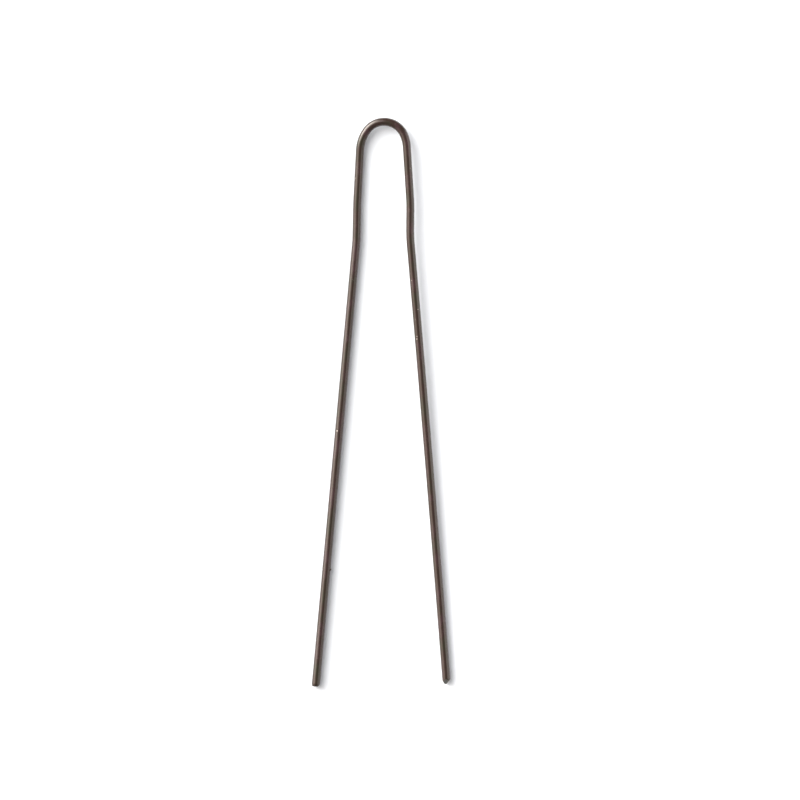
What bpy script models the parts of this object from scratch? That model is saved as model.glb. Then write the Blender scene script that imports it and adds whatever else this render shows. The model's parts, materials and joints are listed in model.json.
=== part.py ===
"""A hairpin: one length of lacquered spring wire, bent into a narrow U with bare cut tips.

The pin lies on the plane z = 0 with its crown towards +Y. Lengths are in metres and run along
the wire's centre as seen from above, which is measured from the top of the crown: positive down
the right side and negative down the left. The wire is drawn by its bearing, the direction it
runs in: straight runs hold the bearing, and bends turn it evenly. The two sides differ a little,
as they do on a pin bent from a coil of wire: the left side lies down, while the crown leans
up to the right and the right leg comes down again to its tip.

The real pin is a single wire whose legs spring apart. Here each leg is a solid of its own that
turns about an upright axis in a hairline gap, where a rigid leg best follows the bent wire.
"""

from collections import namedtuple
from math import acos, ceil, cos, pi, radians

import bmesh
import bpy
import numpy as np
from mathutils import Vector

# Wire: drawn spring steel and the baked lacquer over it
WIRE_DIAMETER = 0.00104
LACQUER_THICKNESS = 0.000025

# Crown: a tight arc over the top that eases into a wider arc down each side
CROWN_RADIUS = 0.002825
LEFT_CROWN_TURN = radians(55.3)
RIGHT_CROWN_TURN = radians(66.9)
FLANK_RADIUS = 0.00496

# Shanks: the straight runs below the crown, flared outwards
LEFT_SHANK_FLARE = radians(2.95)
RIGHT_SHANK_FLARE = radians(3.55)
LEFT_SHANK_LENGTH = 0.00655
RIGHT_SHANK_LENGTH = 0.00668

# Shoulders: the short runs, pressed nearly parallel, between the two bends of each side
SHOULDER_BEND_RADIUS = 0.02300
LEFT_SHOULDER_FLARE = radians(1.15)
RIGHT_SHOULDER_FLARE = radians(-0.55)
LEFT_SHOULDER_LENGTH = 0.00374
RIGHT_SHOULDER_LENGTH = 0.00236

# Legs: the long runs down to the tips, all but straight: their flare falls off by a slight sweep
LEFT_LEG_FLARE = radians(5.2)
RIGHT_LEG_FLARE = radians(4.9)
LEFT_LEG_SWEEP = radians(-0.05)
RIGHT_LEG_SWEEP = radians(0.45)
LEFT_LEG_LENGTH = 0.05831
RIGHT_LEG_LENGTH = 0.05812

# Lean: how far the right shank stands off the surface that the left side lies on, and where the
# wire starts and ends to climb to it: so far down the left side and so far down the right
CROWN_RISE = 0.00061
CLIMB_START = 0.0075
CLIMB_END = 0.0038

# Tips: the left one is cut square and its edge broken, the right one is pinched to a blunt point
LEFT_TIP_TAPER = 0.00042
LEFT_TIP_FLAT_RADIUS = 0.00033
RIGHT_TIP_TAPER = 0.00056
RIGHT_TIP_FLAT_RADIUS = 0.00010

# Flexing: where each leg turns, as a share of the wire from the crown's top to the tip
PIVOT_SHARE = 0.15
PIVOT_GAP = 0.00012

# Facets of the wire: flats round it, how far a flat may stand inside a bend, and the steps in
# which the left shank starts to climb
WIRE_FLATS = 24
BEND_TOLERANCE = 0.000004
CLIMB_STEPS = 4

# Lacquer: dark brown over the metal
LACQUER_COLOUR = (0.085, 0.058, 0.046, 1.0)
LACQUER_ROUGHNESS = 0.32
LACQUER_METALLIC = 0.85

WIRE_RADIUS = WIRE_DIAMETER / 2 + LACQUER_THICKNESS

# Corners stand outside the round of the wire and flats touch it, so that it rests on a true flat
CORNER_REACH = 1 / cos(pi / WIRE_FLATS)

Side = namedtuple(
    "Side",
    "crown_turn shank_flare shank_length shoulder_flare shoulder_length "
    "leg_flare leg_length leg_sweep tip_taper tip_flat_radius",
)

LEFT = Side(
    LEFT_CROWN_TURN,
    LEFT_SHANK_FLARE,
    LEFT_SHANK_LENGTH,
    LEFT_SHOULDER_FLARE,
    LEFT_SHOULDER_LENGTH,
    LEFT_LEG_FLARE,
    LEFT_LEG_LENGTH,
    LEFT_LEG_SWEEP,
    LEFT_TIP_TAPER,
    LEFT_TIP_FLAT_RADIUS,
)

RIGHT = Side(
    RIGHT_CROWN_TURN,
    RIGHT_SHANK_FLARE,
    RIGHT_SHANK_LENGTH,
    RIGHT_SHOULDER_FLARE,
    RIGHT_SHOULDER_LENGTH,
    RIGHT_LEG_FLARE,
    RIGHT_LEG_LENGTH,
    RIGHT_LEG_SWEEP,
    RIGHT_TIP_TAPER,
    RIGHT_TIP_FLAT_RADIUS,
)


def side_turns(side):
    """Knots of one side, crown top first: lengths along the wire, and its turn from level there.

    A quarter turn less the flare points a run down towards the tip.
    """
    quarter = pi / 2
    shank_turn = quarter - side.shank_flare
    shoulder_turn = quarter - side.shoulder_flare
    leg_turn = quarter - side.leg_flare
    runs = [
        (CROWN_RADIUS * side.crown_turn, side.crown_turn),
        (FLANK_RADIUS * abs(shank_turn - side.crown_turn), shank_turn),
        (side.shank_length, shank_turn),
        (SHOULDER_BEND_RADIUS * abs(shoulder_turn - shank_turn), shoulder_turn),
        (side.shoulder_length, shoulder_turn),
        (SHOULDER_BEND_RADIUS * abs(leg_turn - shoulder_turn), leg_turn),
        (side.leg_length, leg_turn + side.leg_sweep),
    ]
    lengths = np.cumsum([0.0] + [length for length, _ in runs])
    turns = np.array([0.0] + [turn for _, turn in runs])
    return lengths, turns


def bend_stations(lengths, turns):
    """Lengths at which one side needs a ring: its knots, and between them along each bend."""
    stations = []
    for start, stop, turned in zip(lengths, lengths[1:], np.abs(np.diff(turns))):
        steps = 1
        if turned > 0:
            radius = (stop - start) / turned
            steps = ceil(turned / (2 * acos(1 - min(BEND_TOLERANCE / radius, 1))))
        stations.extend(np.linspace(start, stop, steps, endpoint=False))
    return stations + [lengths[-1]]


def wire_path():
    """The whole wire: its stations, their places and bearings, and where its parts begin and end.

    Between two stations the chord points along the mean bearing, and it is shorter than the
    bend by sin(half turn) / half turn. Over the crown the wire climbs along a curve that starts
    and ends level, and from the start of the right leg it falls evenly to the tip.
    """
    left_lengths, left_turns = side_turns(LEFT)
    right_lengths, right_turns = side_turns(RIGHT)
    left_tip = -left_lengths[-1]
    right_tip = right_lengths[-1]
    half_gap = PIVOT_GAP / 2
    marks = {
        "left_tip": left_tip,
        "left_taper": left_tip + LEFT.tip_taper,
        "left_cut": PIVOT_SHARE * left_tip - half_gap,
        "left_pivot": PIVOT_SHARE * left_tip,
        "left_seat": PIVOT_SHARE * left_tip + half_gap,
        "right_seat": PIVOT_SHARE * right_tip - half_gap,
        "right_pivot": PIVOT_SHARE * right_tip,
        "right_cut": PIVOT_SHARE * right_tip + half_gap,
        "right_taper": right_tip - RIGHT.tip_taper,
        "right_tip": right_tip,
    }
    stations = [-length for length in bend_stations(left_lengths, left_turns)]
    stations += bend_stations(right_lengths, right_turns)
    stations += list(np.linspace(-CLIMB_START, -left_lengths[2], CLIMB_STEPS, endpoint=False))
    stations = np.unique(stations + list(marks.values()))

    knots = np.concatenate([-left_lengths[::-1], right_lengths[1:]])
    knot_bearings = np.concatenate([left_turns[::-1], -right_turns[1:]])
    bearings = np.interp(stations, knots, knot_bearings)
    turned = np.diff(bearings)
    chords = np.diff(stations) * np.sinc(turned / 2 / pi)
    middles = (bearings[1:] + bearings[:-1]) / 2
    steps = np.stack([chords * np.cos(middles), chords * np.sin(middles)], axis=1)
    places = np.concatenate([np.zeros((1, 2)), np.cumsum(steps, axis=0)])
    climbed = np.clip((stations + CLIMB_START) / (CLIMB_START + CLIMB_END), 0, 1)
    left_to_fall = np.clip((right_tip - stations) / (right_tip - right_lengths[-2]), 0, 1)
    rises = CROWN_RISE * climbed**2 * (3 - 2 * climbed) * left_to_fall
    return stations, np.column_stack([places, rises]), bearings, marks


def wire_rings(stations, places, bearings, marks):
    """One upright ring of points across the wire at each station, narrowing only at the tips."""
    radii = np.interp(
        stations,
        [marks["left_tip"], marks["left_taper"], marks["right_taper"], marks["right_tip"]],
        [LEFT.tip_flat_radius, WIRE_RADIUS, WIRE_RADIUS, RIGHT.tip_flat_radius],
    )
    corners = radii[:, None] * CORNER_REACH
    around = (np.arange(WIRE_FLATS) + 0.5) * 2 * pi / WIRE_FLATS
    across = corners * np.cos(around)
    rings = np.empty((len(stations), WIRE_FLATS, 3))
    rings[:, :, 0] = places[:, None, 0] - across * np.sin(bearings)[:, None]
    rings[:, :, 1] = places[:, None, 1] + across * np.cos(bearings)[:, None]
    rings[:, :, 2] = places[:, None, 2] + WIRE_RADIUS + corners * np.sin(around)
    return rings


def lacquer(name):
    """Dark brown lacquer on steel, for the piece of that name."""
    material = bpy.data.materials.new(name + "_lacquer")
    material.use_nodes = True
    shader = material.node_tree.nodes["Principled BSDF"]
    shader.inputs["Base Color"].default_value = LACQUER_COLOUR
    shader.inputs["Roughness"].default_value = LACQUER_ROUGHNESS
    shader.inputs["Metallic"].default_value = LACQUER_METALLIC
    material.diffuse_color = LACQUER_COLOUR
    return material


def wire_piece(name, rings, origin):
    """One solid of the wire: a skin lofted from ring to ring, flat at both ends."""
    form = bmesh.new()
    loops = [[form.verts.new(Vector(point) - origin) for point in ring] for ring in rings]
    for near, far in zip(loops, loops[1:]):
        for index in range(WIRE_FLATS):
            following = (index + 1) % WIRE_FLATS
            form.faces.new((near[index], near[following], far[following], far[index]))
    form.faces.new(reversed(loops[0]))
    form.faces.new(loops[-1])
    bmesh.ops.recalc_face_normals(form, faces=form.faces)
    mesh = bpy.data.meshes.new(name)
    form.to_mesh(mesh)
    form.free()
    mesh.shade_smooth()
    mesh.set_sharp_from_angle(angle=radians(30))
    mesh.materials.append(lacquer(name))
    piece = bpy.data.objects.new(name, mesh)
    piece.location = origin
    bpy.context.scene.collection.objects.link(piece)
    return piece


def build():
    """The pin, centred over the world origin, with each leg's origin on the axis it turns about."""
    stations, places, bearings, marks = wire_path()
    rings = wire_rings(stations, places, bearings, marks)
    lowest = rings[:, :, :2].min(axis=(0, 1))
    highest = rings[:, :, :2].max(axis=(0, 1))
    shift = np.append((lowest + highest) / 2, 0)
    rings -= shift

    def pivot(mark):
        index = np.searchsorted(stations, marks[mark])
        return Vector(places[index] - shift + (0, 0, WIRE_RADIUS))

    def rings_between(first, last):
        return rings[(stations >= marks[first]) & (stations <= marks[last])]

    bow = wire_piece("bow", rings_between("left_seat", "right_seat"), Vector((0, 0, 0)))
    left_leg = wire_piece("left_leg", rings_between("left_tip", "left_cut"), pivot("left_pivot"))
    right_leg = wire_piece("right_leg", rings_between("right_cut", "right_tip"), pivot("right_pivot"))
    for leg in (left_leg, right_leg):
        leg.parent = bow


for old in list(bpy.data.objects):
    bpy.data.objects.remove(old, do_unlink=True)
build()
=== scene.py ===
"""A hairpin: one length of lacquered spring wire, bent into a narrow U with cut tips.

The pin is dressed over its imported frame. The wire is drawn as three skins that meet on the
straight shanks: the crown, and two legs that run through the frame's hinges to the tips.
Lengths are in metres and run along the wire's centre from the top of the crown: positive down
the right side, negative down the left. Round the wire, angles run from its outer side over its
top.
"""

import json
from collections import namedtuple
from math import pi, radians

import bpy
import numpy as np
from bpy.props import FloatProperty, FloatVectorProperty, PointerProperty
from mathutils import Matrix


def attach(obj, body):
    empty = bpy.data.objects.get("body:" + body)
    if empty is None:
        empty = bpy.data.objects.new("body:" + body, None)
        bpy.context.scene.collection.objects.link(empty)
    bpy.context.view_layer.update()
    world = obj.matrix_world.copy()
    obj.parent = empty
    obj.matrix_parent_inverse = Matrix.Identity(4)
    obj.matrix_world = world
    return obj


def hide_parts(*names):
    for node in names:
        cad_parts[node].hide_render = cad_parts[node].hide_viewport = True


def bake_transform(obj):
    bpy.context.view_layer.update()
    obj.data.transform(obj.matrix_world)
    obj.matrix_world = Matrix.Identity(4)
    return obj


bl_info = {
    "name": "Hairpin",
    "version": (1, 0, 0),
    "blender": (4, 5, 0),
    "location": "View3D > Sidebar > Hairpin",
    "description": "Builds a lacquered wire hairpin over its packed frame",
    "category": "Add Mesh",
}

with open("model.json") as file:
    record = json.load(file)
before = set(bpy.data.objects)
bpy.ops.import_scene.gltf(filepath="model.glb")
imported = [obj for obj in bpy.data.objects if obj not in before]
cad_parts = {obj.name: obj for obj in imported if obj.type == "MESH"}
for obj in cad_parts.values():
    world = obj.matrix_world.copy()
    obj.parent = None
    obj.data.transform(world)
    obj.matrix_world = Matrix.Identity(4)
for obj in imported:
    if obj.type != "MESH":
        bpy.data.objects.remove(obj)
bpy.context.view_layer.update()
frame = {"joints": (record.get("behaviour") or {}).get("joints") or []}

LEFT, RIGHT = 0, 1
LEG_BODIES = ("left_leg", "right_leg")

# Where the legs' skins meet the crown's, where the hinges are as a share of the wire from the
# crown's top to the tip, and how far the wire may miss them
SEAM = 0.0066
PIVOT_SHARE = 0.15
FIT_TOLERANCE = 0.000005

# Rings of the skins: how far apart they are down the wire and at its tips, how far up the tips
# reach, how many rings close a cut face, the turn of each point round the wire, and the angle from
# which an edge is drawn sharp
RING_SPACING = 0.00010
TIP_RING_SPACING = 0.000014
TIP_REACH = 0.0009
END_RINGS = 7
POINTS_ROUND = 84
TURNS = np.arange(POINTS_ROUND) * 2 * pi / POINTS_ROUND
SHARP_ANGLE = radians(50)

# The pinched tip: how crisp the edges between its cuts are
PINCH_CRISPNESS = 14

# The lacquer's unevenness: the seed and number of its waves, how long they are, how often one may
# turn round the wire, and how many times its likely size their sum may reach
WAVE_SEED = 11
WAVE_COUNT = 30
WAVE_LENGTHS = (0.0008, 0.0070)
WAVE_MOST_TURNS = 4
WAVE_PEAK_SHARE = 2.4

# Marks that the forming tools and handling left: where they are along the wire and, in degrees,
# round it, half their length and width, how deep they are, and how much of the lacquer is gone
# from them. The one with a depth below 0 is a bead of lacquer on the left leg's inner side. The
# spread is how much wider the bare middle of a mark is than its deep middle.
Mark = namedtuple("Mark", "along turn length width depth bare")
MARKS = (
    Mark(-0.00917, 40, 0.00009, 0.00009, 0.000016, 0.56),
    Mark(-0.00761, 59, 0.00013, 0.00008, 0.000008, 0.25),
    Mark(-0.00784, 93, 0.00008, 0.00020, 0.000010, 0.28),
    Mark(0.00781, 57, 0.00009, 0.00010, 0.000014, 0.51),
    Mark(0.00146, 78, 0.00020, 0.00011, 0.000006, 0.30),
    Mark(0.00110, 70, 0.00014, 0.00006, 0.000005, 0.18),
    Mark(-0.02161, 64, 0.00011, 0.00006, 0.000008, 0.29),
    Mark(-0.02248, 82, 0.00008, 0.00006, 0.000012, 0.45),
    Mark(-0.02260, 98, 0.00007, 0.00006, 0.000012, 0.45),
    Mark(-0.02220, 122, 0.00007, 0.00006, 0.000010, 0.40),
    Mark(-0.02224, 77, 0.00007, 0.00006, 0.000010, 0.38),
    Mark(0.02257, 122, 0.00010, 0.00008, 0.000015, 0.56),
    Mark(0.02643, 65, 0.00010, 0.00008, 0.000014, 0.51),
    Mark(0.02774, 114, 0.00009, 0.00006, 0.000010, 0.42),
    Mark(0.02955, 107, 0.00007, 0.00008, 0.000009, 0.25),
    Mark(0.03000, 112, 0.00010, 0.00009, 0.000016, 0.56),
    Mark(0.03034, 118, 0.00010, 0.00010, 0.000016, 0.56),
    Mark(0.03456, 113, 0.00008, 0.00006, 0.000010, 0.34),
    Mark(-0.03347, 43, 0.00010, 0.00006, 0.000010, 0.34),
    Mark(-0.04256, 61, 0.00016, 0.00009, 0.000014, 0.51),
    Mark(-0.04298, 57, 0.00014, 0.00009, 0.000008, 0.28),
    Mark(-0.05121, 50, 0.00007, 0.00006, 0.000010, 0.34),
    Mark(-0.05201, 47, 0.00010, 0.00005, 0.000008, 0.28),
    Mark(-0.06088, 161, 0.00027, 0.00020, -0.000150, 0.00),
    Mark(-0.04297, 93, 0.00011, 0.00008, 0.000012, 0.00),
)
BARE_SPREAD = 1.6

# The lacquer's finish: the part of the noise that makes its grooves, its thin and thick patches
# and its duller clouds, how wide a patch is as a share of its length, how rough the clouds are as
# shares of the plain roughness, what grooves add to it, how rough bare metal is at least, how
# strong and deep the drawing lines are, and how the lacquer bends and tints what it mirrors
GROOVE_NOISE = (0.44, 0.30)
THIN_NOISE = (0.50, 0.64)
THICK_NOISE = (0.48, 0.36)
CLOUD_NOISE = (0.3, 0.7)
PATCH_WIDTH_SHARE = 0.45
CLOUD_ROUGHNESS_SHARES = (0.8, 1.25)
GROOVE_ROUGHNESS = 0.08
METAL_ROUGHNESS = 0.42
LINE_STRENGTH = 0.3
LINE_DEPTH = 0.0000015
LACQUER_IOR = 1.6
LACQUER_SPECULAR_TINT = (1.0, 0.91, 0.82, 1)

# Edges of the bare places: the size of their grain, the part of the roughened mask that they fade
# over, and how ragged they are round chips and cuts
EDGE_GRAIN = 0.00006
EDGE_FADE = (0.25, 0.55)
CHIP_RAGGEDNESS = 0.5
CUT_RAGGEDNESS = 0.2

# The light tent's soft panels: tone, strength, and in degrees the middle's azimuth anticlockwise
# from the pin's right, half the width, how far the sides fade beyond it, the lowest and highest
# elevation, and how far the top fades above. All fade alike at the bottom.
Panel = namedtuple("Panel", "tone strength azimuth half_width side_fade low high top_fade")
COOL_TONE = (0.98, 1.01, 1.03)
PINK_TONE = (1.0, 0.93, 0.88)
WARM_TONE = (1.0, 0.97, 0.965)
PANELS = (
    Panel(COOL_TONE, 4.2, 141, 10, 28, 16, 58, 30),
    Panel(COOL_TONE, 12.0, 143, 6, 35, 13, 25, 21),
    Panel(PINK_TONE, 2.4, 165, 8, 68, 8, 51, 17),
    Panel(WARM_TONE, 0.8, -8, 18, 22, 0, 44, 14),
    Panel(WARM_TONE, 1.1, 14, 8, 18, 0, 44, 14),
)
PANEL_BOTTOM_FADE = 7

# The table's matt paper, and how near and far the camera sees as shares of its height
PAPER_ROUGHNESS = 0.9
PAPER_SPECULAR = 0.1
CAMERA_REACH_SHARES = (0.1, 4)


def length(name, description, default):
    """A length for the panel."""
    return FloatProperty(
        name=name, description=description, default=default, min=0, precision=6, unit="LENGTH"
    )


def lengths(name, description, default):
    """Two lengths for the panel, the left side's first."""
    return FloatVectorProperty(
        name=name, description=description, default=default, size=2, precision=6, unit="LENGTH"
    )


def angles(name, description, default):
    """Two angles for the panel, given in degrees, the left side's first."""
    return FloatVectorProperty(
        name=name,
        description=description,
        default=[radians(angle) for angle in default],
        size=2,
        unit="ROTATION",
    )


def angle(name, description, default):
    """An angle for the panel, given in degrees."""
    return FloatProperty(
        name=name, description=description, default=radians(default), unit="ROTATION"
    )


def share(name, description, default, most=1.0):
    """A plain number for the panel, from 0 up."""
    return FloatProperty(
        name=name, description=description, default=default, min=0, max=most, subtype="FACTOR"
    )


def colour(name, description, default):
    """A colour for the panel, in linear light."""
    return FloatVectorProperty(
        name=name, description=description, default=default, size=3, min=0, max=1, subtype="COLOR"
    )


class HairpinWire(bpy.types.PropertyGroup):
    """The wire's thickness and its bends, crown first. Pairs hold the left side, then the right."""

    wire_diameter: length("Wire diameter", "Bare spring wire, without its lacquer", 0.00104)
    lacquer_thickness: length("Lacquer thickness", "Baked lacquer all over the wire", 0.000025)
    crown_radius: length("Crown radius", "Tight arc over the top of the pin", 0.002825)
    crown_turn: angles("Crown turn", "How far the tight arc turns on each side", (55.3, 66.9))
    crown_rise: length("Crown rise", "How far the right shank stands off the table", 0.00061)
    climb_reach: lengths(
        "Climb reach", "How far down each side the climb to that height reaches", (0.0075, 0.0038)
    )
    flank_radius: length("Flank radius", "Wider arc between the crown and each shank", 0.00496)
    shank_flare: angles("Shank flare", "How far each shank leans outwards", (2.95, 3.55))
    shank_length: lengths("Shank length", "Straight run below the crown", (0.00655, 0.00668))
    shoulder_radius: length("Shoulder radius", "The two slight bends of each side", 0.02300)
    shoulder_flare: angles(
        "Shoulder flare", "How far the run between the bends leans outwards", (1.15, -0.55)
    )
    shoulder_length: lengths(
        "Shoulder length", "Straight run between the two bends", (0.00374, 0.00236)
    )
    leg_flare: angles("Leg flare", "How far each leg leans outwards where it starts", (5.2, 4.9))
    leg_sweep: angles(
        "Leg sweep", "How much of its flare each leg loses down to the tip", (-0.05, 0.45)
    )
    leg_length: lengths("Leg length", "Run from the last bend to the tip", (0.05831, 0.05812))


class HairpinTips(bpy.types.PropertyGroup):
    """The cut ends: the left one is square with its edge broken, the right one is pinched off."""

    square_taper: length(
        "Square tip taper", "How far up the wire the broken edge reaches", 0.00042
    )
    square_face: length("Square tip face", "Radius of the flat cut face", 0.00035)
    square_roundness: share(
        "Square tip roundness", "1 is a straight bevel, more is a rounder one", 1.45, 4.0
    )
    square_shift: length(
        "Square tip shift", "How far outwards of the wire's middle the cut face lies", 0.000065
    )
    pinch_shift: length(
        "Pinch shift", "How far inwards of the wire's middle the pinched end lies", 0.000150
    )
    pinch_half_width: length("Pinch half width", "Half the pinched end, across the pin", 0.000085)
    pinch_half_height: length(
        "Pinch half height", "Half the pinched end, through its thickness", 0.000120
    )
    pinch_slopes: FloatVectorProperty(
        name="Pinch slopes",
        description="How fast the outer, top, inner and bottom cuts open along the wire",
        default=(1.03, 0.74, 0.60, 0.86),
        size=4,
    )
    pinch_twist: angle("Pinch twist", "How far the cuts are turned round the wire", 7)


class HairpinLacquer(bpy.types.PropertyGroup):
    """The finish: dark brown baked lacquer over drawn steel, which shows where it is chipped."""

    unevenness: length(
        "Unevenness", "How far hollows lie in from the lacquer's full thickness", 0.0000035
    )
    brown: colour("Brown", "The lacquer where it is of usual thickness", (0.022, 0.0105, 0.0070))
    purple: colour("Purple", "The lacquer where it is thin", (0.033, 0.0140, 0.0152))
    olive: colour("Olive", "The lacquer where it is thick", (0.0182, 0.0146, 0.0073))
    patch_size: length("Patch size", "Length of a patch of one tint", 0.0023)
    patch_shift: share(
        "Patch shift", "How many lengths the patches are moved along the wire", 7.0, 100.0
    )
    roughness: share("Roughness", "Microscopic roughness of the lacquer", 0.15)
    line_pitch: length("Line pitch", "Distance between the drawing lines", 0.000045)
    line_length: length("Line length", "How far a drawing line runs", 0.0040)
    steel: colour("Steel", "Bare metal in chips", (0.40, 0.335, 0.30))
    cut_steel: colour("Cut steel", "Dull metal on the cut faces", (0.19, 0.185, 0.165))


class HairpinStage(bpy.types.PropertyGroup):
    """The table, the light tent over it and the camera."""

    field: length("Field", "Width and height of what the camera sees", 0.105486)
    aim: FloatVectorProperty(
        name="Aim",
        description="Place on the table under the camera",
        default=(0.002490, 0.000293),
        size=2,
        precision=6,
        unit="LENGTH",
    )
    camera_height: length("Camera height", "Height of the camera above the wire", 2.4)
    table_size: length("Table size", "Width and depth of the table", 8.0)
    # Painted light on the table: the paper is darker left of the pin and whiter right of it,
    # standing in for more light falling on the right
    table_left_painted_shade: colour("Table left", "The paper left of the pin", (0.810, 0.822, 0.832))
    table_right_painted_light: colour("Table right", "The paper right of the pin", (0.908, 0.922, 0.934))
    painted_light_change: FloatVectorProperty(
        name="Table change",
        description="Where across the pin the paper's shade starts and ends to change",
        default=(-0.0045, 0.0005),
        size=2,
        precision=6,
        unit="LENGTH",
    )
    ambient: FloatVectorProperty(
        name="Ambient",
        description="Light of the tent between its panels",
        default=(0.374, 0.372, 0.384),
        size=3,
        min=0,
    )


class Wire:
    """The centre line of the whole wire, placed in the frame, and the radius of its lacquer.

    The left side lies on the table. Over the crown the wire climbs along a curve that starts and
    ends level, and from the start of the right leg it falls evenly to the tip.
    """

    def __init__(self, sizes):
        self.radius = sizes.wire_diameter / 2 + sizes.lacquer_thickness
        left, left_turns = side_knots(sizes, LEFT)
        right, right_turns = side_knots(sizes, RIGHT)
        self.tips = (-left[-1], right[-1])
        self.pivots = (PIVOT_SHARE * self.tips[LEFT], PIVOT_SHARE * self.tips[RIGHT])
        self.knots = np.concatenate([-left[::-1], right[1:]])
        self.bearings = np.concatenate([left_turns[::-1], -right_turns[1:]])
        hinges = {joint["child"]: np.array(joint["pos_m"]) for joint in frame["joints"]}
        self.rise = sizes.crown_rise
        self.climb = (-sizes.climb_reach[LEFT], sizes.climb_reach[RIGHT])
        self.fall = (right[-2], right[-1])
        self.shift = np.zeros(2)
        starts = self.centre(np.array(self.pivots))[0]
        wanted = np.array([hinges[body] for body in LEG_BODIES])
        self.shift = wanted[LEFT, :2] - starts[LEFT, :2]
        miss = np.abs(self.centre(np.array(self.pivots))[0] - wanted).max()
        if miss > FIT_TOLERANCE:
            raise RuntimeError(f"the wire misses the frame's hinges by {miss * 1000:.3f} mm")

    def centre(self, along):
        """Places (x, y, z) and bearings of the centre line at those lengths along it.

        Between two lengths the chord points along the mean bearing, and it is shorter than the
        arc by sin(half the turn) / half the turn. The chords are added up from the left tip.
        """
        stations = np.unique(np.concatenate([self.knots, along]))
        bearings = np.interp(stations, self.knots, self.bearings)
        chords = np.diff(stations) * np.sinc(np.diff(bearings) / 2 / pi)
        middles = (bearings[1:] + bearings[:-1]) / 2
        steps = np.stack([chords * np.cos(middles), chords * np.sin(middles)], axis=1)
        places = np.concatenate([np.zeros((1, 2)), np.cumsum(steps, axis=0)]) + self.shift
        climbed = np.interp(stations, self.climb, (0, 1))
        kept = np.interp(stations, self.fall, (1, 0))
        heights = self.radius + self.rise * climbed**2 * (3 - 2 * climbed) * kept
        found = np.searchsorted(stations, along)
        return np.column_stack([places, heights])[found], bearings[found]


def side_knots(sizes, side):
    """Lengths from the crown's top to the end of each run of one side, and the turn there.

    A quarter turn less the flare points a run down towards the tip.
    """
    quarter = pi / 2
    crown = sizes.crown_turn[side]
    shank = quarter - sizes.shank_flare[side]
    shoulder = quarter - sizes.shoulder_flare[side]
    leg = quarter - sizes.leg_flare[side]
    runs = np.array(
        [
            (0, 0),
            (sizes.crown_radius * crown, crown),
            (sizes.flank_radius * abs(shank - crown), shank),
            (sizes.shank_length[side], shank),
            (sizes.shoulder_radius * abs(shoulder - shank), shoulder),
            (sizes.shoulder_length[side], shoulder),
            (sizes.shoulder_radius * abs(leg - shoulder), leg),
            (sizes.leg_length[side], leg + sizes.leg_sweep[side]),
        ]
    )
    return np.cumsum(runs[:, 0]), runs[:, 1]


def hollows(along, depth):
    """How far the lacquer's surface lies in from its full thickness, over a grid of places.

    A sum of cosine waves, each with a whole number of turns round the wire and a random length
    along it, scaled to lie from 0 to depth.
    """
    random = np.random.default_rng(WAVE_SEED)
    lobes = random.integers(0, WAVE_MOST_TURNS + 1, WAVE_COUNT)
    waves = np.exp(random.uniform(*np.log(WAVE_LENGTHS), WAVE_COUNT))
    waves *= random.choice([-1, 1], WAVE_COUNT)
    phases = random.uniform(0, 2 * pi, WAVE_COUNT)
    total = np.zeros((len(along), POINTS_ROUND))
    for lobe, wave, phase in zip(lobes, waves, phases):
        total += np.cos(2 * pi * along[:, None] / wave + lobe * TURNS + phase)
    reach = WAVE_PEAK_SHARE * np.sqrt(WAVE_COUNT / 2)
    return depth * np.clip(0.5 - total / reach / 2, 0, 1)


def marks(along, radius):
    """Depth of the tool marks over a grid of places, and how bare they are.

    A mark's depth falls off from its middle as (1 - q squared) squared, where q is the distance
    as a share of its half length and half width. It is bare where q is well below 1.
    """
    depth = np.zeros((len(along), POINTS_ROUND))
    bare = np.zeros_like(depth)
    for mark in MARKS:
        across = radius * np.angle(np.exp(1j * (TURNS - radians(mark.turn))))
        apart = ((along - mark.along) / mark.length)[:, None] ** 2 + (across / mark.width) ** 2
        inside = np.clip(1 - apart, 0, 1)
        depth += mark.depth * inside**2
        bare = np.maximum(bare, mark.bare * np.clip(inside * BARE_SPREAD, 0, 1))
    return depth, bare


def round_section(count, radius):
    """Sections of the plain wire: their shift, radii and cut share."""
    shape = (count, POINTS_ROUND)
    return np.zeros(count), np.full(shape, radius), np.zeros(shape)


def square_section(tips, from_tip, radius):
    """Sections of the square-cut tip: their shift, radii and cut share.

    The radius grows from the cut face's to the wire's along a quarter of a superellipse: with
    roundness 1 it is a straight bevel.
    """
    left = np.clip(1 - from_tip / tips.square_taper, 0, 1)
    grown = (1 - left**tips.square_roundness) ** (1 / tips.square_roundness)
    radii = tips.square_face + (radius - tips.square_face) * grown
    shape = (len(from_tip), POINTS_ROUND)
    return tips.square_shift * left, np.broadcast_to(radii[:, None], shape), np.zeros(shape)


def pinched_section(tips, from_tip, radius):
    """Sections of the pinched tip: their shift, radii and cut share.

    Each section is the wire's circle cut by four sloping planes. Its radius is the least of
    theirs, softened: the sum of their inverses to a high power, to minus one over that power.
    """
    power = PINCH_CRISPNESS
    opened = np.clip(from_tip * max(tips.pinch_slopes) / radius, 0, 1)
    shift = -tips.pinch_shift * (1 - opened * opened * (3 - 2 * opened))
    moved = shift[:, None]
    circle = -moved * np.cos(TURNS) + np.sqrt(radius**2 - (moved * np.sin(TURNS)) ** 2)
    halves = (tips.pinch_half_width, tips.pinch_half_height) * 2
    shifts = (-tips.pinch_shift - shift, 0, tips.pinch_shift + shift, 0)
    planes = np.zeros_like(circle)
    for index, (half, slope, away) in enumerate(zip(halves, tips.pinch_slopes, shifts)):
        faces = TURNS - index * pi / 2 - tips.pinch_twist
        reach = half + slope * from_tip + away
        planes += (np.clip(np.cos(faces), 0, 1) / reach[:, None]) ** power
    radii = (circle**-power + planes) ** (-1 / power)
    cut = planes / (circle**-power + planes)
    return shift, radii, cut


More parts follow.
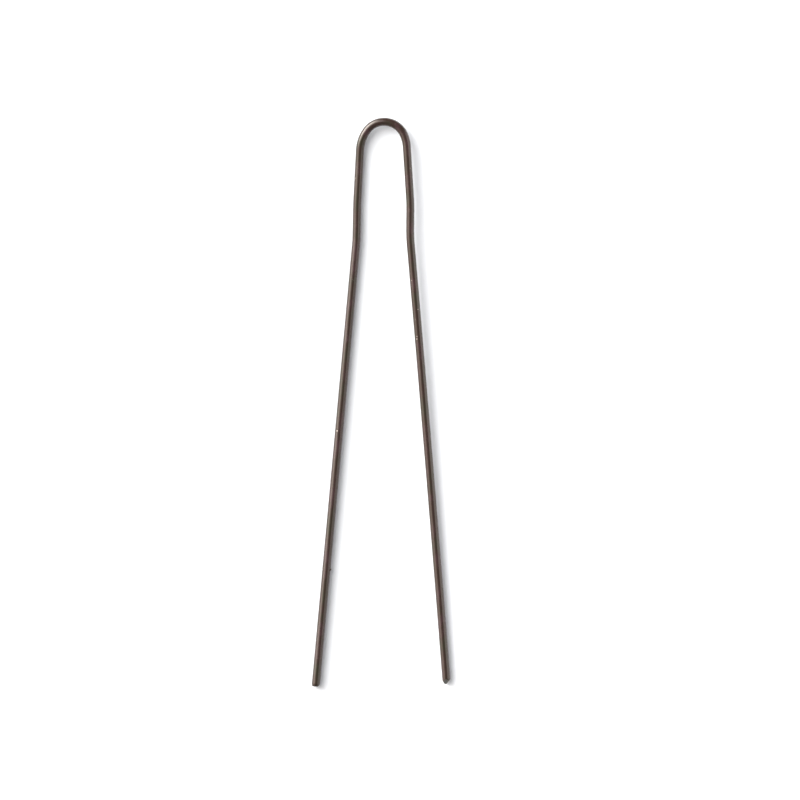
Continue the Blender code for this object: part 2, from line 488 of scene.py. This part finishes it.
def leg_rings(leg_length):
    """Distances of a leg's rings from the tip, and each ring's size as a share of its section.

    The first rings close the cut face, the next climb the tip, and the rest climb the leg.
    """
    closing = np.linspace(0, 1, END_RINGS + 1)[1:-1]
    climbing = np.arange(0, TIP_REACH, TIP_RING_SPACING)
    plain = np.append(np.arange(TIP_REACH, leg_length, RING_SPACING), leg_length)
    away = np.concatenate([np.zeros_like(closing), climbing, plain])
    return away, np.concatenate([closing, np.ones(len(climbing) + len(plain))])


def skin(name, rings, tags):
    """A closed mesh over rings of points, with a value or vector of each tag at every point.

    Quads join each ring to the next, and a fan of triangles closes each end on its middle.
    """
    count, round_count, _ = rings.shape
    middles = rings[[0, -1]].mean(axis=1)
    points = np.concatenate([rings.reshape(-1, 3), middles])
    index = np.arange(count * round_count).reshape(count, round_count)
    following = np.roll(index, -1, axis=1)
    quads = np.stack([index[:-1], following[:-1], following[1:], index[1:]], axis=-1).reshape(-1, 4)
    near, far = count * round_count, count * round_count + 1
    near_fan = np.stack([np.full(round_count, near), following[0], index[0]], axis=-1)
    far_fan = np.stack([np.full(round_count, far), index[-1], following[-1]], axis=-1)
    mesh = bpy.data.meshes.new(name)
    mesh.from_pydata(points.tolist(), [], quads.tolist() + near_fan.tolist() + far_fan.tolist())
    for tag, values in tags.items():
        ends = values[[0, -1]].mean(axis=1)
        flat = np.concatenate([values.reshape(-1, *values.shape[2:]), ends])
        kind, field = ("FLOAT_VECTOR", "vector") if values.ndim == 3 else ("FLOAT", "value")
        layer = mesh.attributes.new(tag, kind, "POINT")
        layer.data.foreach_set(field, flat.astype(np.float32).ravel())
    mesh.shade_smooth()
    mesh.set_sharp_from_angle(angle=SHARP_ANGLE)
    return mesh


def wire_piece(name, wire, along, sizes, section, cut_ends):
    """A piece of the wire as an object: a ring square to the wire at each length along it.

    sizes scales each ring, and section holds the rings' shifts, radii and cut shares. A ring's
    point lies radius times cosine of its turn outwards, and radius times sine up.
    """
    lacquer = bpy.context.scene.hairpin_lacquer
    shift, radii, cut = section
    dents, bare = marks(along, wire.radius)
    radii = (radii - dents - hollows(along, lacquer.unevenness)) * sizes[:, None]
    outwards = shift[:, None] + radii * np.cos(TURNS)
    upwards = radii * np.sin(TURNS)
    places, bearings = wire.centre(along)
    rings = np.empty((len(along), POINTS_ROUND, 3))
    rings[..., 0] = places[:, None, 0] - outwards * np.sin(bearings)[:, None]
    rings[..., 1] = places[:, None, 1] + outwards * np.cos(bearings)[:, None]
    rings[..., 2] = places[:, None, 2] + upwards
    lengthwise = np.broadcast_to(along[:, None], outwards.shape)
    tags = {
        "wire_space": np.stack([outwards, upwards, lengthwise], axis=-1),
        "bare": bare,
        "cut": np.maximum(cut, cut_ends[:, None]),
    }
    piece = bpy.data.objects.new(name, skin(name, rings, tags))
    bpy.context.scene.collection.objects.link(piece)
    piece.data.materials.append(lacquered_wire())
    return piece


def feed(tree, socket, value):
    """Links a socket to another node's output, or gives it a plain value."""
    if isinstance(value, bpy.types.NodeSocket):
        tree.links.new(value, socket)
    else:
        socket.default_value = value


def node(tree, kind, inputs=None, **settings):
    """A new node with those settings. inputs maps a socket's name or number to a value or link."""
    made = tree.nodes.new(kind)
    for name, value in settings.items():
        setattr(made, name, value)
    for name, value in (inputs or {}).items():
        feed(tree, made.inputs[name], value)
    return made


def calculated(tree, operation, *values):
    """A Math node's result for those values or links."""
    return node(tree, "ShaderNodeMath", dict(enumerate(values)), operation=operation).outputs[0]


def ramp(tree, value, low, high, to_low=0.0, to_high=1.0):
    """value carried smoothly from between low and high to between to_low and to_high."""
    made = node(
        tree,
        "ShaderNodeMapRange",
        {"Value": value, "From Min": low, "From Max": high, "To Min": to_low, "To Max": to_high},
        interpolation_type="SMOOTHSTEP",
    )
    return made.outputs["Result"]


def mixed(tree, factor, first, second):
    """The first colour where factor is 0 and the second where it is 1."""
    made = node(tree, "ShaderNodeMix", data_type="RGBA")
    sockets = {socket.identifier: socket for socket in made.inputs}
    feed(tree, sockets["Factor_Float"], factor)
    feed(tree, sockets["A_Color"], first)
    feed(tree, sockets["B_Color"], second)
    return next(socket for socket in made.outputs if socket.identifier == "Result_Color")


def group(name, place, numbers, results):
    """An empty node group from a place and numbers to other numbers, and its two ends."""
    tree = bpy.data.node_groups.new(name, "ShaderNodeTree")
    tree.interface.new_socket(place, in_out="INPUT", socket_type="NodeSocketVector")
    for label in numbers:
        tree.interface.new_socket(label, in_out="INPUT", socket_type="NodeSocketFloat")
    for label in results:
        tree.interface.new_socket(label, in_out="OUTPUT", socket_type="NodeSocketFloat")
    given = tree.nodes.new("NodeGroupInput").outputs
    return tree, given, tree.nodes.new("NodeGroupOutput").inputs


def placed(tree, made, inputs):
    """The outputs of a group placed in a tree, with those inputs by name."""
    return node(tree, "ShaderNodeGroup", inputs, node_tree=made).outputs


def stretched_noise(tree, place, across, lengthwise, shift=0.0, **inputs):
    """Noise over wire space, with grains of one size across the wire and another along it.

    It is moved along the wire by that many grains.
    """
    grains_across = calculated(tree, "DIVIDE", 1.0, across)
    grains_along = calculated(tree, "DIVIDE", 1.0, lengthwise)
    scale = node(
        tree,
        "ShaderNodeCombineXYZ",
        {"X": grains_across, "Y": grains_across, "Z": grains_along},
    ).outputs[0]
    away = node(tree, "ShaderNodeCombineXYZ", {"Z": shift}).outputs[0]
    moved = node(
        tree, "ShaderNodeVectorMath", {0: place, 1: scale, 2: away}, operation="MULTIPLY_ADD"
    ).outputs[0]
    inputs = {"Vector": moved, "Scale": 1.0, **inputs}
    return node(tree, "ShaderNodeTexNoise", inputs).outputs["Fac"]


def drawn_lines_group():
    """Fine lines along the wire from the die that it was drawn through."""
    name = "drawn_lines"
    if name in bpy.data.node_groups:
        return bpy.data.node_groups[name]
    tree, given, result = group(name, "Wire Space", ("Pitch", "Length"), ("Height", "Groove"))
    grain = stretched_noise(
        tree, given["Wire Space"], given["Pitch"], given["Length"], Detail=2.0, Roughness=0.55
    )
    tree.links.new(grain, result["Height"])
    tree.links.new(ramp(tree, grain, *GROOVE_NOISE), result["Groove"])
    return tree


def tint_patches_group():
    """Soft patches of thinner and thicker lacquer, as two masks that never meet."""
    name = "tint_patches"
    if name in bpy.data.node_groups:
        return bpy.data.node_groups[name]
    tree, given, result = group(name, "Wire Space", ("Size", "Shift"), ("Thin", "Thick", "Cloud"))
    across = calculated(tree, "MULTIPLY", given["Size"], PATCH_WIDTH_SHARE)
    cloud = stretched_noise(
        tree, given["Wire Space"], across, given["Size"], given["Shift"], Detail=3.0, Roughness=0.6
    )
    tree.links.new(ramp(tree, cloud, *THIN_NOISE), result["Thin"])
    tree.links.new(ramp(tree, cloud, *THICK_NOISE), result["Thick"])
    tree.links.new(cloud, result["Cloud"])
    return tree


def ragged_mask_group():
    """Ragged edges for a mask that fades out smoothly."""
    name = "ragged_mask"
    if name in bpy.data.node_groups:
        return bpy.data.node_groups[name]
    tree, given, result = group(name, "Wire Space", ("Mask", "Grain", "Raggedness"), ("Mask",))
    grain = stretched_noise(tree, given["Wire Space"], given["Grain"], given["Grain"], Detail=3.0)
    about_zero = calculated(tree, "SUBTRACT", grain, 0.5)
    rough = calculated(tree, "MULTIPLY", about_zero, given["Raggedness"])
    roughened = calculated(tree, "ADD", given["Mask"], rough)
    tree.links.new(ramp(tree, roughened, *EDGE_FADE), result["Mask"])
    return tree


def lacquered_wire():
    """Dark brown lacquer in three tints over drawn steel, bare where it is chipped or cut."""
    name = "brown_lacquer_over_steel"
    if name in bpy.data.materials:
        return bpy.data.materials[name]
    look = bpy.context.scene.hairpin_lacquer
    material = bpy.data.materials.new(name)
    material.use_nodes = True
    material.diffuse_color = (*look.brown, 1)
    tree = material.node_tree
    shader = tree.nodes["Principled BSDF"]
    space = node(tree, "ShaderNodeAttribute", attribute_name="wire_space").outputs["Vector"]
    bare = node(tree, "ShaderNodeAttribute", attribute_name="bare").outputs["Fac"]
    cut = node(tree, "ShaderNodeAttribute", attribute_name="cut").outputs["Fac"]

    patches = placed(
        tree,
        tint_patches_group(),
        {"Wire Space": space, "Size": look.patch_size, "Shift": look.patch_shift},
    )
    lines = placed(
        tree,
        drawn_lines_group(),
        {"Wire Space": space, "Pitch": look.line_pitch, "Length": look.line_length},
    )
    edges = {"Wire Space": space, "Grain": EDGE_GRAIN}
    chips = placed(
        tree, ragged_mask_group(), {**edges, "Mask": bare, "Raggedness": CHIP_RAGGEDNESS}
    )["Mask"]
    cuts = placed(
        tree, ragged_mask_group(), {**edges, "Mask": cut, "Raggedness": CUT_RAGGEDNESS}
    )["Mask"]
    metal = calculated(tree, "MAXIMUM", chips, cuts)

    tint = mixed(tree, patches["Thin"], (*look.brown, 1), (*look.purple, 1))
    tint = mixed(tree, patches["Thick"], tint, (*look.olive, 1))
    steel = mixed(tree, cuts, (*look.steel, 1), (*look.cut_steel, 1))
    tree.links.new(mixed(tree, metal, tint, steel), shader.inputs["Base Color"])
    tree.links.new(metal, shader.inputs["Metallic"])
    glossy, dull = (look.roughness * part for part in CLOUD_ROUGHNESS_SHARES)
    clouded = ramp(tree, patches["Cloud"], *CLOUD_NOISE, glossy, dull)
    grooved = calculated(tree, "MULTIPLY", lines["Groove"], GROOVE_ROUGHNESS)
    lacquer_rough = calculated(tree, "ADD", clouded, grooved)
    metal_rough = calculated(tree, "MULTIPLY", metal, METAL_ROUGHNESS)
    rough = calculated(tree, "MAXIMUM", lacquer_rough, metal_rough)
    tree.links.new(rough, shader.inputs["Roughness"])
    bump = node(
        tree,
        "ShaderNodeBump",
        {"Strength": LINE_STRENGTH, "Distance": LINE_DEPTH, "Height": lines["Height"]},
    )
    tree.links.new(bump.outputs["Normal"], shader.inputs["Normal"])
    shader.inputs["IOR"].default_value = LACQUER_IOR
    shader.inputs["Specular Tint"].default_value = LACQUER_SPECULAR_TINT
    return material


class HAIRPIN_OT_crown(bpy.types.Operator):
    """Draw the crown and the tops of both shanks"""

    bl_idname = "hairpin.crown"
    bl_label = "Crown"

    def execute(self, context):
        wire = Wire(context.scene.hairpin_wire)
        count = round(2 * SEAM / RING_SPACING) + 1
        along = np.linspace(-SEAM, SEAM, count)
        section = round_section(count, wire.radius)
        crown = wire_piece("crown_wire", wire, along, np.ones(count), section, np.zeros(count))
        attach(crown, "bow")
        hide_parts("bow")
        return {"FINISHED"}


class HAIRPIN_OT_legs(bpy.types.Operator):
    """Draw both legs, from the shanks down to their cut tips"""

    bl_idname = "hairpin.legs"
    bl_label = "Legs"

    def execute(self, context):
        wire = Wire(context.scene.hairpin_wire)
        tips = context.scene.hairpin_tips
        for side, tip_section in ((LEFT, square_section), (RIGHT, pinched_section)):
            outward = -1 if side == LEFT else 1
            tip = abs(wire.tips[side])
            away, sizes = leg_rings(tip - SEAM)
            if side == RIGHT:
                away, sizes = away[::-1], sizes[::-1]
            along = outward * (tip - away)
            cut_ends = np.where((away == 0) & (sizes < 1), 1.0, 0.0)
            section = tip_section(tips, away, wire.radius)
            name = LEG_BODIES[side] + "_wire"
            leg = wire_piece(name, wire, along, sizes, section, cut_ends)
            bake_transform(leg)
            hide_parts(LEG_BODIES[side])
        return {"FINISHED"}


def soft_box_group():
    """A soft-edged panel of light in the sky: 1 inside its width and height, fading to 0."""
    name = "soft_box"
    if name in bpy.data.node_groups:
        return bpy.data.node_groups[name]
    tree, given, result = group(
        name,
        "Direction",
        ("Azimuth", "Half Width", "Side Fade", "Low", "High", "Top Fade", "Bottom Fade"),
        ("Mask",),
    )
    back = calculated(tree, "MULTIPLY", given["Azimuth"], -1.0)
    turned = node(
        tree,
        "ShaderNodeVectorRotate",
        {"Vector": given["Direction"], "Angle": back},
        rotation_type="Z_AXIS",
    ).outputs[0]
    parts = node(tree, "ShaderNodeSeparateXYZ", {0: turned}).outputs
    sideways = calculated(tree, "ABSOLUTE", calculated(tree, "ARCTAN2", parts["Y"], parts["X"]))
    upwards = calculated(tree, "ARCSINE", parts["Z"])
    side = calculated(tree, "ADD", given["Half Width"], given["Side Fade"])
    bottom = calculated(tree, "SUBTRACT", given["Low"], given["Bottom Fade"])
    top = calculated(tree, "ADD", given["High"], given["Top Fade"])
    across = ramp(tree, sideways, side, given["Half Width"])
    under = ramp(tree, upwards, bottom, given["Low"])
    over = ramp(tree, upwards, top, given["High"])
    mask = calculated(tree, "MULTIPLY", across, calculated(tree, "MULTIPLY", under, over))
    tree.links.new(mask, result["Mask"])
    return tree


def light_tent(stage):
    """The light all round the table: an even glow, with soft panels to the pin's left and right."""
    world = bpy.data.worlds.new("light_tent")
    world.use_nodes = True
    tree = world.node_tree
    direction = node(tree, "ShaderNodeTexCoord").outputs["Generated"]
    light = tuple(stage.ambient)
    for panel in PANELS:
        mask = placed(
            tree,
            soft_box_group(),
            {
                "Direction": direction,
                "Azimuth": radians(panel.azimuth),
                "Half Width": radians(panel.half_width),
                "Side Fade": radians(panel.side_fade),
                "Low": radians(panel.low),
                "High": radians(panel.high),
                "Top Fade": radians(panel.top_fade),
                "Bottom Fade": radians(PANEL_BOTTOM_FADE),
            },
        )["Mask"]
        glow = node(
            tree,
            "ShaderNodeVectorMath",
            {0: [part * panel.strength for part in panel.tone], "Scale": mask},
            operation="SCALE",
        ).outputs[0]
        light = node(tree, "ShaderNodeVectorMath", {0: light, 1: glow}, operation="ADD").outputs[0]
    tree.links.new(light, tree.nodes["Background"].inputs["Color"])
    return world


def table_paper(stage):
    """Matt white paper, whiter towards the pin's right as painted light."""
    material = bpy.data.materials.new("table_paper")
    material.use_nodes = True
    tree = material.node_tree
    shader = tree.nodes["Principled BSDF"]
    place = node(tree, "ShaderNodeTexCoord").outputs["Object"]
    across = node(tree, "ShaderNodeSeparateXYZ", {0: place}).outputs["X"]
    # Painted light: the paper's colour runs from the darker left shade to the whiter right shade
    painted_light_share = ramp(tree, across, *stage.painted_light_change)
    shade = mixed(tree, painted_light_share, (*stage.table_left_painted_shade, 1), (*stage.table_right_painted_light, 1))
    tree.links.new(shade, shader.inputs["Base Color"])
    shader.inputs["Roughness"].default_value = PAPER_ROUGHNESS
    shader.inputs["Specular IOR Level"].default_value = PAPER_SPECULAR
    return material


class HAIRPIN_OT_stage(bpy.types.Operator):
    """Set the table, the light tent and the camera"""

    bl_idname = "hairpin.stage"
    bl_label = "Stage"

    def execute(self, context):
        stage = context.scene.hairpin_stage
        half = stage.table_size / 2
        corners = [(-half, -half, 0), (half, -half, 0), (half, half, 0), (-half, half, 0)]
        mesh = bpy.data.meshes.new("table")
        mesh.from_pydata(corners, [], [(0, 1, 2, 3)])
        table = bpy.data.objects.new("table", mesh)
        context.scene.collection.objects.link(table)
        mesh.materials.append(table_paper(stage))

        context.scene.world = light_tent(stage)
        context.scene.view_settings.view_transform = "Standard"

        camera = bpy.data.cameras.new("camera")
        wire_radius = Wire(context.scene.hairpin_wire).radius
        camera.lens = camera.sensor_width * stage.camera_height / stage.field
        near, far = CAMERA_REACH_SHARES
        camera.clip_start, camera.clip_end = stage.camera_height * near, stage.camera_height * far
        seat = bpy.data.objects.new("camera", camera)
        seat.location = (*stage.aim, stage.camera_height + wire_radius)
        context.scene.collection.objects.link(seat)
        context.scene.camera = seat
        return {"FINISHED"}


class HAIRPIN_PT_panel(bpy.types.Panel):
    """The hairpin's sizes, colours and steps"""

    bl_idname = "HAIRPIN_PT_panel"
    bl_label = "Hairpin"
    bl_space_type = "VIEW_3D"
    bl_region_type = "UI"
    bl_category = "Hairpin"

    def draw(self, context):
        for kind, holder in SETTINGS.items():
            box = self.layout.box()
            settings = getattr(context.scene, holder)
            for name in kind.__annotations__:
                box.prop(settings, name)
        for operator in OPERATORS:
            self.layout.operator(operator.bl_idname)


SETTINGS = {
    HairpinWire: "hairpin_wire",
    HairpinTips: "hairpin_tips",
    HairpinLacquer: "hairpin_lacquer",
    HairpinStage: "hairpin_stage",
}
OPERATORS = (HAIRPIN_OT_crown, HAIRPIN_OT_legs, HAIRPIN_OT_stage)
CLASSES = (*SETTINGS, *OPERATORS, HAIRPIN_PT_panel)


def register():
    for kind in CLASSES:
        bpy.utils.register_class(kind)
    for kind, holder in SETTINGS.items():
        setattr(bpy.types.Scene, holder, PointerProperty(type=kind))


def unregister():
    for holder in SETTINGS.values():
        delattr(bpy.types.Scene, holder)
    for kind in reversed(CLASSES):
        bpy.utils.unregister_class(kind)


def main():
    """Builds the pin and its stage."""
    register()
    bpy.ops.hairpin.crown()
    bpy.ops.hairpin.legs()
    bpy.ops.hairpin.stage()


if __name__ == "__main__":
    main()
